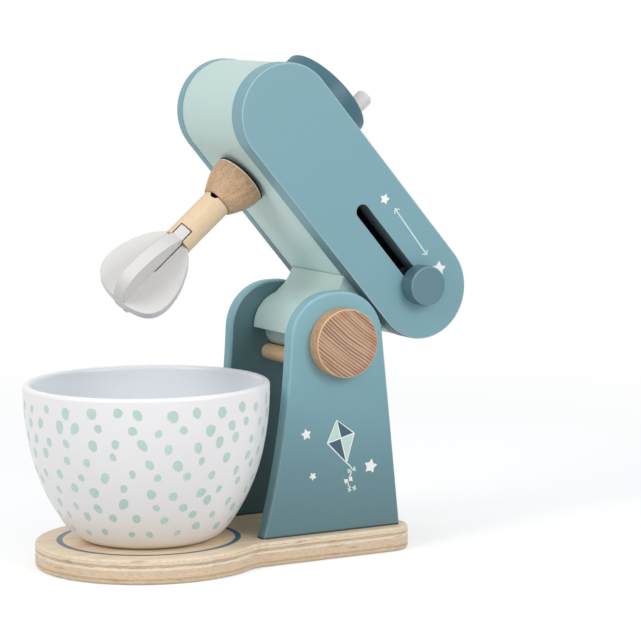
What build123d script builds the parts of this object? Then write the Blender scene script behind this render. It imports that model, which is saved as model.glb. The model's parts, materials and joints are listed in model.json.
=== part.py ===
# Wooden toy stand mixer: tilting head, hand crank disc, whisk, speed slider and a loose bowl.
# Millimetres. Origin on the bowl's axis at the underside of the base board, +Z up,
# +X towards the two uprights, and -Y towards the side with the slider.
# The head is drawn level, with the whisk pointing straight down, and then lifted by head_tilt.
import os
from math import acos, asin, atan2, cos, degrees, hypot, pi, radians, sin, sqrt, tan

from build123d import *

# Base board
base_thickness = 14.0
base_front_radius = 64.6
base_half_width = 48.6
base_rear_margin = 7.5
base_rear_corner = 16.0
base_waist_radius = 22.0
base_edge_round = 1.8

# Bowl
bowl_height = 90.0
bowl_radius = 70.0
bowl_wall = 4.5
bowl_foot_radius = 33.5
bowl_floor = 6.0
bowl_shoulder_inset = 4.3
bowl_shoulder_drop = 40.0
bowl_turn_inset = 23.1
bowl_turn_height = 9.0

# Uprights
upright_thickness = 9.0
upright_inner_y = 32.0
upright_front_reach = 50.8
upright_rear_reach = 39.0
upright_top_radius = 27.8
upright_crown_front = 3.9
upright_crown_rear = 0.7
upright_crown_rise = 1.2
upright_hollow_radius = 480.0
upright_edge_round = 1.8
pivot_x = 103.0
pivot_z = 123.5

# Tilt pivot
axle_radius = 6.0
axle_running_gap = 0.08
pivot_knob_radius = 19.8
pivot_knob_thickness = 9.0
pivot_knob_socket = 6.0
pivot_knob_gap = 0.4
pivot_knob_edge_round = 1.2
pivot_washer_radius = 9.3
pivot_washer_gap = 0.1

# Stop dowel between the uprights
stop_radius = 4.7
stop_distance = 14.8
stop_angle = -61.0
stop_socket = 6.0
stop_slack_angle = 0.5

# Head
head_tilt = 50.0
head_rise = 59.5
head_rear_offset = 14.1
head_length = 134.3
head_end_radius = 29.5
head_plate_inner_y = 28.7
head_plate_thickness = 12.0
left_plate_thickness = 7.1
head_plate_edge_round = 1.2
head_plate_overhang = 0.4
core_wall = 9.0

# Slot and slider
slot_half_width = 4.2
slider_rest_u = 3.0
slider_far_u = 60.3
slider_knob_radius = 11.5
slider_knob_thickness = 10.6
slider_knob_gap = 0.7
slider_knob_edge_round = 1.2
slider_stem_radius = 3.8
slider_shoe_radius = 9.0
slider_shoe_thickness = 4.0
slider_shoe_gap = 0.4
slider_screw_radius = 1.5
slider_screw_head_height = 2.0
slider_screw_cover = 2.5
slider_hole_cover = 2.0

# Neck
neck_half_width = 31.0
neck_hub_radius = 9.5
neck_barrel_radius = 20.4
neck_barrel_lift = 3.8
neck_flare_radius = 22.0
neck_flare_start_v = 17.9
neck_front_u = 18.8
neck_rear_u = -18.3
neck_tongue_inset = 2.5

# Crank and whisk
whisk_u = 111.4
shaft_radius = 5.0
shaft_running_gap = 0.06
bush_radius = 8.0
bush_flange_radius = 10.0
bush_flange_thickness = 1.5
bush_proud = 3.0
disc_radius = 29.0
disc_thickness = 11.4
disc_washer_thickness = 2.3
disc_socket = 7.0
disc_edge_round = 1.5
peg_offset = 19.0
peg_radius = 5.0
peg_height = 18.0
peg_socket = 7.0
peg_edge_round = 2.2
washer_radius = 12.5
washer_slack = 0.2
hub_washer_radius = 16.3
hub_washer_thickness = 0.7
hub_spacer_radius = 9.0
hub_spacer_thickness = 2.0
hub_height = 19.3
hub_profile = [(16.2, 0.0), (16.0, 4.0), (14.9, 8.8), (13.1, 13.2), (9.9, 19.3)]
hub_shaft_socket = 6.5
hub_edge_round = 0.6
handle_radius = 8.55
handle_visible = 33.4
handle_socket = 10.0
handle_hole_radius = 2.9
handle_hole_angle = -51.0
handle_hole_rise = 0.6
fork_depth = 8.2
fork_slack = 0.65
tab_end_slack = 0.9
tab_side_slack = 0.1
blade_thickness = 7.0
blade_angle = -39.0
blade_lap_share = 0.47
blade_upper_slack = 0.6
blade_lower_slack = 0.1
blade_end_gap = 0.5
blade_outline = [(5.0, 12.9), (10.0, 16.2), (14.1, 18.2), (19.7, 20.6), (25.6, 22.1), (31.8, 22.8),
                 (38.2, 22.1), (43.0, 19.6), (46.5, 14.9), (48.4, 8.8), (49.1, 0.0)]
blade_shoulder = 8.4

# Fixings
screw_shank_radius = 2.0
screw_head_radius = 4.0
screw_head_depth = 2.4
screw_point_length = 3.0
screw_point_radius = 0.4
screw_drive_radius = 1.3
screw_drive_depth = 1.4
base_screw_length = 38.0
neck_screw_length = 30.0
pin_radius = 3.0
pin_core_depth = 9.0
pin_board_cover = 3.0
pin_rear_inset = 30.0
pin_front_inset = 8.0
pin_middle_shift = 8.0
base_screw_inset = 18.0
neck_screw_x = 8.5
neck_screw_y = 18.0

# Derived values
upright_outer_y = upright_inner_y + upright_thickness
head_plate_outer_y = head_plate_inner_y + head_plate_thickness
left_plate_inner_y = head_plate_outer_y - left_plate_thickness
upright_foot_front_x = pivot_x - upright_front_reach
upright_foot_rear_x = pivot_x + upright_rear_reach
base_rear_x = upright_foot_rear_x + base_rear_margin
crown_front_x = pivot_x - upright_crown_front
crown_rear_x = pivot_x + upright_crown_rear
crown_z = pivot_z + upright_crown_rise
core_radius = head_end_radius - head_plate_overhang
head_axis_z = pivot_z + head_rise
head_rear_x = pivot_x + head_rear_offset
head_front_x = head_rear_x - head_length
whisk_x = head_rear_x - whisk_u
neck_top_v = head_rise - head_end_radius
core_bottom_v = head_rise - core_radius
pivot_axis = Axis((pivot_x, 0, pivot_z), (0, 1, 0))
stop_x = pivot_x - stop_distance * cos(radians(stop_angle))
stop_z = pivot_z + stop_distance * sin(radians(stop_angle))
disc_top_h = core_radius + washer_slack + disc_washer_thickness + disc_thickness
hub_top_h = core_radius + washer_slack + hub_spacer_thickness + hub_washer_thickness
handle_end_h = hub_top_h + hub_height + handle_visible
blade_length = blade_outline[-1][0]
clear_of_head = head_end_radius + disc_radius


def side_slab(outline, low_y, high_y):
    """Board standing in the XZ plane between two values of Y, from an outline drawn as (x, z)."""
    plane = Plane(origin=(0, high_y, 0), x_dir=(1, 0, 0), z_dir=(0, -1, 0))
    return extrude(plane * outline, amount=high_y - low_y)


def cross_rod(radius, x, z, low_y, high_y):
    """Round bar along Y."""
    return side_slab(Pos(x, z) * Circle(radius), low_y, high_y)


def drop_rod(radius, x, y, low_z, high_z):
    """Round bar along Z."""
    return Pos(x, y, (low_z + high_z) / 2) * Cylinder(radius, high_z - low_z)


def lifted(shape):
    """A level head piece turned to the raised position."""
    return shape.rotate(pivot_axis, head_tilt)


def mirrored_side(shape):
    """The same piece on the other side of the middle plane."""
    return mirror(shape, about=Plane.XZ)


def head_stadium(radius):
    """Outline of the head, round at both ends."""
    centre = (head_rear_x + head_front_x) / 2
    return Pos(centre, head_axis_z) * SlotCenterToCenter(head_length, 2 * radius)


def from_neck(u, v):
    """Neck coordinates (forward, up) measured from the pivot, as (x, z) with the head level."""
    return (pivot_x - u, pivot_z + v)


def rim_edges(shape, side):
    """Edges of the face that looks along -Y (side 0) or +Y (side -1)."""
    return shape.faces().sort_by(Axis.Y)[side].edges()


def screw_hole(length):
    """Space taken by a countersunk screw that points up from z = 0, head at the bottom."""
    head = Pos(0, 0, screw_head_depth / 2) * Cone(screw_head_radius, screw_shank_radius, screw_head_depth)
    shank = drop_rod(screw_shank_radius, 0, 0, screw_head_depth, length - screw_point_length)
    point = Cone(screw_shank_radius, screw_point_radius, screw_point_length)
    return head + shank + Pos(0, 0, length - screw_point_length / 2) * point


def wood_screw(length):
    """The screw that fills that space, with a drive recess in its head."""
    return screw_hole(length) - drop_rod(screw_drive_radius, 0, 0, 0, screw_drive_depth)


def base_screw_places():
    """Underside places of the screws that hold the uprights."""
    middle_y = (upright_inner_y + upright_outer_y) / 2
    places = []
    for y in (-middle_y, middle_y):
        for x in (upright_foot_front_x + base_screw_inset, upright_foot_rear_x - base_screw_inset):
            places.append((x, y))
    return places


def base_outline():
    front = Circle(base_front_radius)
    rear = Pos(base_rear_x / 2, 0) * Rectangle(base_rear_x, 2 * base_half_width)
    outline = front + rear
    rear_corners = outline.vertices().group_by(Axis.X)[-1]
    outline = fillet(rear_corners, base_rear_corner)
    waist_x = sqrt(base_front_radius ** 2 - base_half_width ** 2)
    waist = [v for v in outline.vertices() if abs(v.X - waist_x) < 0.5 and abs(abs(v.Y) - base_half_width) < 0.5]
    return fillet(waist, base_waist_radius)


def make_base_board():
    board = extrude(base_outline(), amount=base_thickness)
    flat = board.faces().filter_by(Axis.Z)
    edges = flat.sort_by(Axis.Z)[0].edges() + flat.sort_by(Axis.Z)[-1].edges()
    board = fillet(edges, base_edge_round)
    for x, y in base_screw_places():
        board -= Pos(x, y, 0) * screw_hole(base_screw_length)
    return board


def upright_front_edge():
    """Start, middle and foot of the long hollow front edge, which leaves the crown without a corner."""
    run = upright_foot_front_x - crown_front_x
    rise = base_thickness - crown_z
    slant = hypot(run, rise)
    reach = upright_top_radius + upright_hollow_radius
    lean = atan2(rise, run) - acos((slant ** 2 + reach ** 2 - upright_hollow_radius ** 2) / (2 * slant * reach))
    centre_x = crown_front_x + reach * cos(lean)
    centre_z = crown_z + reach * sin(lean)
    high = lean + pi
    low = atan2(base_thickness - centre_z, upright_foot_front_x - centre_x)
    points = []
    for angle in (high, (high + low) / 2, low):
        points.append((centre_x + upright_hollow_radius * cos(angle), centre_z + upright_hollow_radius * sin(angle)))
    return points


def upright_rear_touch():
    """Point where the straight rear edge from the foot meets the crown."""
    run = upright_foot_rear_x - crown_rear_x
    rise = base_thickness - crown_z
    angle = atan2(rise, run) + acos(upright_top_radius / hypot(run, rise))
    return crown_rear_x + upright_top_radius * cos(angle), crown_z + upright_top_radius * sin(angle)


def upright_outline():
    """Side view: a round crown, a hollow front edge and a straight rear edge that spread towards the foot."""
    front_touch, front_middle, front_foot = upright_front_edge()
    rear_touch = upright_rear_touch()
    rear_foot = (upright_foot_rear_x, base_thickness)
    front_top = (crown_front_x, crown_z + upright_top_radius)
    rear_top = (crown_rear_x, crown_z + upright_top_radius)
    edges = ThreePointArc(front_foot, front_middle, front_touch)
    edges += ThreePointArc(front_touch, crown_point(crown_front_x, front_touch, front_top), front_top)
    edges += Line(front_top, rear_top)
    edges += ThreePointArc(rear_top, crown_point(crown_rear_x, rear_top, rear_touch), rear_touch)
    edges += Line(rear_touch, rear_foot)
    edges += Line(rear_foot, front_foot)
    return make_face(edges)


def crown_point(centre_x, first, last):
    """Point of the crown half-way between two of its points."""
    run = (first[0] + last[0]) / 2 - centre_x
    rise = (first[1] + last[1]) / 2 - crown_z
    stretch = upright_top_radius / hypot(run, rise)
    return centre_x + run * stretch, crown_z + rise * stretch


def make_upright_right():
    """The upright on the slotted side (-Y)."""
    board = side_slab(upright_outline(), -upright_outer_y, -upright_inner_y)
    long_edges = [e for e in rim_edges(board, 0) + rim_edges(board, -1) if e.center().Z > base_thickness + 1]
    board = fillet(long_edges, upright_edge_round)
    board -= cross_rod(axle_radius + axle_running_gap, pivot_x, pivot_z, -upright_outer_y, -upright_inner_y)
    board -= cross_rod(stop_radius, stop_x, stop_z, -upright_inner_y - stop_socket, -upright_inner_y)
    for x, y in base_screw_places():
        board -= Pos(x, y, 0) * screw_hole(base_screw_length)
    return board


def make_upright_left():
    return mirrored_side(make_upright_right())


def make_base_screws():
    return Compound([Pos(x, y, 0) * wood_screw(base_screw_length) for x, y in base_screw_places()])


def make_stop_dowel():
    reach = upright_inner_y + stop_socket
    return cross_rod(stop_radius, stop_x, stop_z, -reach, reach)


def make_pivot_washers():
    """Thin rings that fill the room between the neck and the uprights."""
    inner = neck_half_width
    outer = upright_inner_y - pivot_washer_gap
    ring = cross_rod(pivot_washer_radius, pivot_x, pivot_z, inner, outer)
    ring -= cross_rod(axle_radius, pivot_x, pivot_z, inner, outer)
    return Compound([ring, mirrored_side(ring)])


def make_pivot_axle():
    reach = upright_outer_y + pivot_knob_gap + pivot_knob_socket
    return lifted(cross_rod(axle_radius, pivot_x, pivot_z, -reach, reach))


def make_pivot_knob_right():
    inner = upright_outer_y + pivot_knob_gap
    outer = inner + pivot_knob_thickness
    knob = cross_rod(pivot_knob_radius, pivot_x, pivot_z, -outer, -inner)
    knob = fillet(rim_edges(knob, 0), pivot_knob_edge_round)
    knob -= cross_rod(axle_radius, pivot_x, pivot_z, -inner - pivot_knob_socket, -inner)
    return lifted(knob)


def make_pivot_knob_left():
    return mirrored_side(make_pivot_knob_right())


def neck_outline():
    """Side view of the neck: barrel round the pivot, flared forwards where it meets the head."""
    rise = neck_top_v - neck_flare_start_v
    top_u = neck_front_u + neck_flare_radius - sqrt(neck_flare_radius ** 2 - rise ** 2)
    half = rise / 2
    mid_u = neck_front_u + neck_flare_radius - sqrt(neck_flare_radius ** 2 - half ** 2)
    flare = ThreePointArc(
        from_neck(neck_front_u, neck_flare_start_v),
        from_neck(mid_u, neck_flare_start_v + half),
        from_neck(top_u, neck_top_v),
    )
    rest = Polyline(
        from_neck(top_u, neck_top_v),
        from_neck(neck_rear_u, neck_top_v),
        from_neck(neck_rear_u, neck_barrel_lift),
        from_neck(0, neck_barrel_lift),
        from_neck(neck_front_u, neck_barrel_lift),
        from_neck(neck_front_u, neck_flare_start_v),
    )
    upper = make_face(flare + rest)
    barrel = Pos(*from_neck(0, neck_barrel_lift)) * Circle(neck_barrel_radius)
    return upper + barrel


def neck_notch():
    """Open sector below the pivot that the stop dowel travels in; its two flats are the stops."""
    half_angle = degrees(asin(stop_radius / stop_distance)) + stop_slack_angle
    front = radians(stop_angle + half_angle)
    rear = radians(stop_angle - head_tilt - half_angle)
    reach = 2 * neck_barrel_radius
    low = (front + rear) / 2
    corner_a = from_neck(reach * cos(front), reach * sin(front))
    corner_b = from_neck(reach * cos(rear), reach * sin(rear))
    corner_low = from_neck(reach * cos(low) * 1.5, reach * sin(low) * 1.5)
    return Polygon((pivot_x, pivot_z), corner_a, corner_low, corner_b, align=None)


def neck_screw_places():
    """Forward offsets from the pivot of the screws that come down out of the core."""
    return [(x, y) for x in (-neck_screw_x, neck_screw_x) for y in (-neck_screw_y, neck_screw_y)]


def neck_screw_set(shape):
    """Copies of a screw or its hole, head up inside the core, pointing down into the neck."""
    seat_z = pivot_z + core_bottom_v + core_wall
    return [Pos(pivot_x + x, y, seat_z) * Rot(180, 0, 0) * shape for x, y in neck_screw_places()]


def make_neck_block():
    outline = neck_outline() - neck_notch() + Pos(pivot_x, pivot_z) * Circle(neck_hub_radius)
    block = side_slab(outline, -neck_half_width, neck_half_width)
    tongue_depth = core_bottom_v - neck_top_v
    tongue_front = neck_front_u + neck_tongue_inset
    tongue_rear = neck_rear_u + neck_tongue_inset
    tongue_length = tongue_front - tongue_rear
    tongue_z = pivot_z + neck_top_v + tongue_depth / 2
    tongue_x = pivot_x - (tongue_front + tongue_rear) / 2
    tongue_left = min(neck_half_width, left_plate_inner_y)
    tongue_width = head_plate_inner_y + tongue_left
    tongue_y = (tongue_left - head_plate_inner_y) / 2
    block += Pos(tongue_x, tongue_y, tongue_z) * Box(tongue_length, tongue_width, tongue_depth)
    block -= cross_rod(axle_radius, pivot_x, pivot_z, -neck_half_width, neck_half_width)
    for hole in neck_screw_set(screw_hole(neck_screw_length)):
        block -= hole
    return lifted(block)


def make_neck_screws():
    return lifted(Compound(neck_screw_set(wood_screw(neck_screw_length))))


def pin_places():
    """Dowel pin places along the core's wall, half-way through it."""
    middle = core_radius - core_wall / 2
    places = []
    centre = (head_rear_x + head_front_x) / 2
    for x in (head_rear_x - pin_rear_inset, centre - pin_middle_shift, head_front_x + pin_front_inset):
        for z in (head_axis_z - middle, head_axis_z + middle):
            places.append((x, z))
    return places


def pins(board_inner_y):
    """Dowel pins that join the core to the board whose inner face lies at this distance, drawn at -Y."""
    low = head_plate_outer_y - pin_board_cover
    high = board_inner_y - pin_core_depth
    return [cross_rod(pin_radius, x, z, -low, -high) for x, z in pin_places()]


def left_pins():
    return [mirrored_side(pin) for pin in pins(left_plate_inner_y)]


def make_head_core():
    """Hollow ring of the head's outline with bores for the two shaft bushes and the fixings."""
    ring = side_slab(head_stadium(core_radius), -head_plate_inner_y, left_plate_inner_y)
    ring -= side_slab(head_stadium(core_radius - core_wall), -head_plate_inner_y, left_plate_inner_y)
    ring -= drop_rod(bush_radius, whisk_x, 0, head_axis_z - clear_of_head, head_axis_z + clear_of_head)
    for low, high in bush_flange_spans():
        ring -= drop_rod(bush_flange_radius, whisk_x, 0, low, high)
    for pin in pins(head_plate_inner_y) + left_pins():
        ring -= pin
    for hole in neck_screw_set(screw_hole(neck_screw_length)):
        ring -= hole
    return lifted(ring)


def make_plain_plate(inner_y):
    """Side board on the -Y side with its inner face at this distance, before any slot is cut."""
    plate = side_slab(head_stadium(head_end_radius), -head_plate_outer_y, -inner_y)
    plate = fillet(rim_edges(plate, 0), head_plate_edge_round)
    for pin in pins(inner_y):
        plate -= pin
    return plate


def slot_outline(half_width):
    """Slot along the head's centre line, seen from the side."""
    rear_x = head_rear_x - slider_rest_u
    front_x = head_rear_x - slider_far_u
    middle = Pos((rear_x + front_x) / 2, head_axis_z)
    return middle * SlotCenterToCenter(rear_x - front_x, 2 * half_width)


def make_head_plate_right():
    """The slotted board."""
    plate = make_plain_plate(head_plate_inner_y)
    plate -= side_slab(slot_outline(slot_half_width), -head_plate_outer_y, -head_plate_inner_y)
    return lifted(plate)


def make_head_plate_left():
    """The plain board, which is thinner."""
    return lifted(mirrored_side(make_plain_plate(left_plate_inner_y)))


def make_head_pins():
    return lifted(Compound(pins(head_plate_inner_y) + left_pins()))


def bush_flange_spans():
    """Heights of the two bush flanges, which lie flush in the core's outer surface."""
    low = head_axis_z - core_radius
    high = head_axis_z + core_radius
    return [(low, low + bush_flange_thickness), (high - bush_flange_thickness, high)]


def make_bush(outer_z, inner_z, flange):
    bush = drop_rod(bush_radius, whisk_x, 0, min(outer_z, inner_z), max(outer_z, inner_z))
    bush += drop_rod(bush_flange_radius, whisk_x, 0, *flange)
    bore = drop_rod(shaft_radius + shaft_running_gap, whisk_x, 0, head_axis_z - clear_of_head, head_axis_z + clear_of_head)
    return lifted(bush - bore)


def make_shaft_bush_lower():
    outer_z = head_axis_z - core_radius
    return make_bush(outer_z, outer_z + core_wall + bush_proud, bush_flange_spans()[0])


def make_shaft_bush_upper():
    outer_z = head_axis_z + core_radius
    return make_bush(outer_z, outer_z - core_wall - bush_proud, bush_flange_spans()[1])


def make_drive_shaft():
    top = head_axis_z + disc_top_h - disc_thickness + disc_socket
    bottom = head_axis_z - hub_top_h - hub_shaft_socket
    return lifted(drop_rod(shaft_radius, whisk_x, 0, bottom, top))


def make_crank_disc():
    top = head_axis_z + disc_top_h
    bottom = top - disc_thickness
    disc = drop_rod(disc_radius, whisk_x, 0, bottom, top)
    disc = fillet(disc.edges().filter_by(GeomType.CIRCLE), disc_edge_round)
    disc -= drop_rod(shaft_radius, whisk_x, 0, bottom, bottom + disc_socket)
    disc -= drop_rod(peg_radius, whisk_x + peg_offset, 0, top - peg_socket, top)
    return lifted(disc)


def make_crank_peg():
    top = head_axis_z + disc_top_h
    peg = drop_rod(peg_radius, whisk_x + peg_offset, 0, top - peg_socket, top + peg_height)
    peg = fillet(peg.edges().filter_by(GeomType.CIRCLE).sort_by(Axis.Z)[-1], peg_edge_round)
    return lifted(peg)


def make_disc_washer():
    low = head_axis_z + core_radius + washer_slack
    high = head_axis_z + disc_top_h - disc_thickness
    ring = drop_rod(washer_radius, whisk_x, 0, low, high)
    return lifted(ring - drop_rod(shaft_radius, whisk_x, 0, low, high))


def make_hub_washer():
    """Stepped washer: a wide thin ring on the hub with a narrow boss towards the head."""
    low = head_axis_z - hub_top_h
    high = head_axis_z - core_radius - washer_slack
    ring = drop_rod(hub_washer_radius, whisk_x, 0, low, low + hub_washer_thickness)
    ring += drop_rod(hub_spacer_radius, whisk_x, 0, low, high)
    return lifted(ring - drop_rod(shaft_radius, whisk_x, 0, low, high))


def make_whisk_hub():
    """Turned cone, slightly bellied, with a blind bore at each end."""
    top = head_axis_z - hub_top_h
    wall = [(radius, top - drop) for radius, drop in hub_profile]
    curve = Spline(wall[1:])
    outline = make_face(
        Line(wall[0], wall[1]) + curve + Polyline(wall[-1], (0, wall[-1][1]), (0, wall[0][1]), wall[0])
    )
    cone = Pos(whisk_x, 0, 0) * revolve(Plane.XZ * outline, Axis.Z)
    cone = fillet(cone.edges().filter_by(GeomType.CIRCLE).sort_by(Axis.Z)[-1], hub_edge_round)
    cone -= drop_rod(shaft_radius, whisk_x, 0, top - hub_shaft_socket, top)
    cone -= drop_rod(handle_radius, whisk_x, 0, top - hub_height, top - hub_height + handle_socket)
    return lifted(cone)


def blade_board(top_gap):
    """One teardrop board standing in the XZ plane, its shoulders just below the handle."""
    end_z = head_axis_z - handle_end_h
    top_z = end_z - top_gap
    right = [(half, end_z - drop) for drop, half in blade_outline]
    left = [(-half, end_z - drop) for drop, half in reversed(blade_outline[:-1])]
    curve = Spline([(blade_shoulder, top_z)] + right + left + [(-blade_shoulder, top_z)])
    outline = make_face(curve + Line((-blade_shoulder, top_z), (blade_shoulder, top_z)))
    return side_slab(outline, -blade_thickness / 2, blade_thickness / 2)


def blade_tab():
    """Tab that stands in the slot of the handle."""
    end_z = head_axis_z - handle_end_h
    height = fork_depth - tab_end_slack
    block = Pos(0, 0, end_z + height / 2) * Box(2 * handle_radius, blade_thickness, height)
    return block & drop_rod(handle_radius - tab_side_slack, 0, 0, end_z, end_z + height)


def placed_blade(board, turn):
    """A blade turned about the whisk's axis and moved to its place."""
    return lifted(Pos(whisk_x, 0, 0) * Rot(0, 0, blade_angle + turn) * board)


def lap_cut(low, high, slack):
    """Room for the crossing board in a half-lap joint."""
    width = blade_thickness + 2 * slack
    return Pos(0, 0, (low + high) / 2) * Box(width, blade_thickness * 2, high - low)


def lap_z():
    """Height where the two half-laps meet."""
    return head_axis_z - handle_end_h - blade_lap_share * blade_length


def make_whisk_blade_a():
    """Board whose half-lap is open at the top, butted against the handle's end."""
    board = blade_board(blade_end_gap) - lap_cut(lap_z(), head_axis_z, blade_upper_slack)
    return placed_blade(board, 0)


def make_whisk_blade_b():
    """Board held in the handle's slot, its half-lap open at the bottom."""
    board = blade_board(0) + blade_tab()
    board -= lap_cut(lap_z() - blade_length, lap_z() + blade_lower_slack, blade_lower_slack)
    return placed_blade(board, 90)


def make_whisk_handle():
    """Dowel with a slot across its lower end and a blind hole that the hub's rim half covers."""
    end_z = head_axis_z - handle_end_h
    top_z = head_axis_z - hub_top_h - hub_height + handle_socket
    rod = drop_rod(handle_radius, 0, 0, end_z, top_z)
    width = blade_thickness + 2 * fork_slack
    slot = Pos(0, 0, end_z + fork_depth / 2) * Box(4 * handle_radius, width, fork_depth)
    rod -= Rot(0, 0, blade_angle + 90) * slot
    hole_z = head_axis_z - hub_top_h - hub_height + handle_hole_rise
    hole = Pos(0, 0, hole_z) * Rot(0, 0, handle_hole_angle) * Pos(0, -handle_radius, 0)
    rod -= hole * Rot(90, 0, 0) * Cylinder(handle_hole_radius, 2 * handle_radius)
    return lifted(Pos(whisk_x, 0, 0) * rod)


def slider_x():
    return head_rear_x - slider_rest_u


def make_slider_knob():
    inner = head_plate_outer_y + slider_knob_gap
    outer = inner + slider_knob_thickness
    knob = cross_rod(slider_knob_radius, slider_x(), head_axis_z, -outer, -inner)
    knob = fillet(rim_edges(knob, 0), slider_knob_edge_round)
    knob -= cross_rod(slider_stem_radius, slider_x(), head_axis_z, -inner - slider_knob_thickness / 2, -inner)
    knob -= cross_rod(slider_screw_radius, slider_x(), head_axis_z, -outer + slider_hole_cover, -inner)
    return lifted(knob)


def shoe_span():
    near = -head_plate_inner_y + slider_shoe_gap
    return near, near + slider_shoe_thickness


def make_slider_stem():
    knob_end = -head_plate_outer_y - slider_knob_gap - slider_knob_thickness / 2
    shoe_near, shoe_far = shoe_span()
    stem = cross_rod(slider_stem_radius, slider_x(), head_axis_z, knob_end, shoe_near)
    stem -= cross_rod(slider_screw_radius, slider_x(), head_axis_z, knob_end, shoe_near)
    return lifted(stem)


def make_slider_shoe():
    near, far = shoe_span()
    shoe = cross_rod(slider_shoe_radius, slider_x(), head_axis_z, near, far)
    shoe -= cross_rod(slider_screw_radius, slider_x(), head_axis_z, near, far)
    return lifted(shoe)


def make_slider_screw():
    """Pan-head screw from inside the head through shoe and stem into the knob."""
    near, far = shoe_span()
    tip = -head_plate_outer_y - slider_knob_gap - slider_knob_thickness + slider_screw_cover
    screw = cross_rod(slider_screw_radius, slider_x(), head_axis_z, tip, far)
    screw += cross_rod(2 * slider_screw_radius, slider_x(), head_axis_z, far, far + slider_screw_head_height)
    return lifted(screw)


def hollowed(point, heading):
    """A point of the bowl's outer curve moved in by the wall, square to the curve's downward heading."""
    return point + bowl_wall * Vector(heading.Y, -heading.X)


def make_bowl():
    """Turned bowl: three tangent arcs from a round lip down to the foot, hollowed to an even wall."""
    foot_z = base_thickness
    rim_z = foot_z + bowl_height
    floor_z = foot_z + bowl_floor
    lip = bowl_wall / 2
    down = Vector(0, -1)
    rim = Vector(bowl_radius, rim_z - lip)
    shoulder = Vector(bowl_radius - bowl_shoulder_inset, rim_z - bowl_shoulder_drop)
    turn = Vector(bowl_radius - bowl_turn_inset, foot_z + bowl_turn_height)
    foot = Vector(bowl_foot_radius, foot_z)
    upper = TangentArc(rim, shoulder, tangent=down)
    at_shoulder = upper % 1
    middle = TangentArc(shoulder, turn, tangent=at_shoulder)
    at_turn = middle % 1
    lower = TangentArc(turn, foot, tangent=at_turn)
    inner_rim = hollowed(rim, down)
    inner_shoulder = hollowed(shoulder, at_shoulder)
    inner_turn = hollowed(turn, at_turn)
    steepness = atan2(-at_turn.Y, -at_turn.X)
    floor_edge = Vector(inner_turn.X - (inner_turn.Y - floor_z) / tan(steepness / 2), floor_z)
    inner_upper = TangentArc(inner_rim, inner_shoulder, tangent=down)
    inner_middle = TangentArc(inner_shoulder, inner_turn, tangent=at_shoulder)
    inner_lower = TangentArc(inner_turn, floor_edge, tangent=at_turn)
    lip_arc = ThreePointArc(rim, Vector(bowl_radius - lip, rim_z), inner_rim)
    closing = Polyline(floor_edge, (0, floor_z), (0, foot_z), foot)
    outer = upper + middle + lower
    inner = inner_upper + inner_middle + inner_lower
    return revolve(Plane.XZ * make_face(outer + lip_arc + inner + closing), Axis.Z)


PIECES = {
    "base_board": make_base_board,
    "upright_left": make_upright_left,
    "upright_right": make_upright_right,
    "base_screws": make_base_screws,
    "stop_dowel": make_stop_dowel,
    "neck_block": make_neck_block,
    "pivot_axle": make_pivot_axle,
    "pivot_washers": make_pivot_washers,
    "pivot_knob_left": make_pivot_knob_left,
    "pivot_knob_right": make_pivot_knob_right,
    "neck_screws": make_neck_screws,
    "head_core": make_head_core,
    "head_plate_left": make_head_plate_left,
    "head_plate_right": make_head_plate_right,
    "head_pins": make_head_pins,
    "shaft_bush_lower": make_shaft_bush_lower,
    "shaft_bush_upper": make_shaft_bush_upper,
    "drive_shaft": make_drive_shaft,
    "crank_disc": make_crank_disc,
    "crank_peg": make_crank_peg,
    "disc_washer": make_disc_washer,
    "hub_washer": make_hub_washer,
    "whisk_hub": make_whisk_hub,
    "whisk_handle": make_whisk_handle,
    "whisk_blade_a": make_whisk_blade_a,
    "whisk_blade_b": make_whisk_blade_b,
    "slider_knob": make_slider_knob,
    "slider_stem": make_slider_stem,
    "slider_shoe": make_slider_shoe,
    "slider_screw": make_slider_screw,
    "bowl": make_bowl,
}

os.makedirs("parts", exist_ok=True)
for name, make in PIECES.items():
    shape = make()
    shape.label = name
    export_step(shape, f"parts/{name}.step")
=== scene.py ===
# Looks for the wooden toy stand mixer: painted boards, turned beech, plywood base and dotted bowl.
# Metres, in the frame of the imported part. The head is shown raised, as it is packed.
import json
import math

import bmesh
import bpy
from mathutils import Matrix, Vector


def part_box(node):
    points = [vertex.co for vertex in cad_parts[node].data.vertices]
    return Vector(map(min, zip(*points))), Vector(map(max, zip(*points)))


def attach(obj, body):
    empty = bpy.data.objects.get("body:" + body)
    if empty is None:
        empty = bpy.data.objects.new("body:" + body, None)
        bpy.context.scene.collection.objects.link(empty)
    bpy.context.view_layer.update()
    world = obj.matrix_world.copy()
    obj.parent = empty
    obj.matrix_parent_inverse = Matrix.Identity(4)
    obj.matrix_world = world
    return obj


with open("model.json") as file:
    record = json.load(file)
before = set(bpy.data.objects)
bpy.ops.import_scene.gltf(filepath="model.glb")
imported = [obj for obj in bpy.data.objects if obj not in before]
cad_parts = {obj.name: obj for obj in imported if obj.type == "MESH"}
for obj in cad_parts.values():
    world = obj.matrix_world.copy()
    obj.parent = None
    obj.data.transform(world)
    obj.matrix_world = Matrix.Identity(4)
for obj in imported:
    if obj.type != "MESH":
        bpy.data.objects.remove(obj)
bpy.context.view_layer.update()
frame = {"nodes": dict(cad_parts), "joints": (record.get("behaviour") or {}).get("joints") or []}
nodes = frame["nodes"]
joints = {joint["name"]: joint for joint in frame["joints"]}

MM = 0.001
UP = Vector((0.0, 0.0, 1.0))
ACROSS = Vector((0.0, 1.0, 0.0))

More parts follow.
